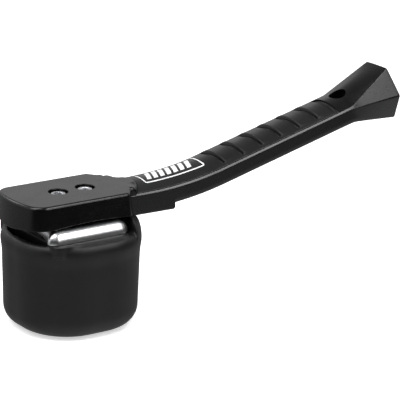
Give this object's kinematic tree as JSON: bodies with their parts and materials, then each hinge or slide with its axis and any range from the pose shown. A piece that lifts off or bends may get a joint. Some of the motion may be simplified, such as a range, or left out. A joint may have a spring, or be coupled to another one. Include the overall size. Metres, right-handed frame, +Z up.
{
  "type": "rubber mallet",
  "caption": "One-sided mallet: rounded square rubber block clamped under the head cover of a bent moulded handle with a grooved soft grip and a flared hexagonal pommel.",
  "frame": {"origin": "centre of the striking face, the flat underside of the rubber block", "axes": "+X from the head towards the pommel, +Z up through the head, away from the striking face"},
  "size_m": [0.3048, 0.085, 0.1407],
  "materials": {
    "handle_plastic": "satin moulded, fine grain",
    "grip_rubber": "matte soft-touch, grooved",
    "label_film": "printed film with a plain white frame",
    "plain_steel": "plain rolled",
    "bright_aluminium": "polished rim",
    "block_rubber": "matte moulded rubber",
    "zinc_steel": "zinc plated",
    "black_steel": "black oxide",
    "screw_steel": "zinc plated"
  },
  "bodies": {
    "root": {"handle_body": "handle_plastic", "pommel_end": "handle_plastic", "grip_cover": "grip_rubber", "label": "label_film", "core_bar": "plain_steel", "clamping_plate": "bright_aluminium", "rubber_head": "block_rubber", "anchor_plate": "plain_steel", "weld_nuts": "zinc_steel", "lock_washers": "black_steel", "head_screws": "screw_steel"}
  },
  "joints": []
}
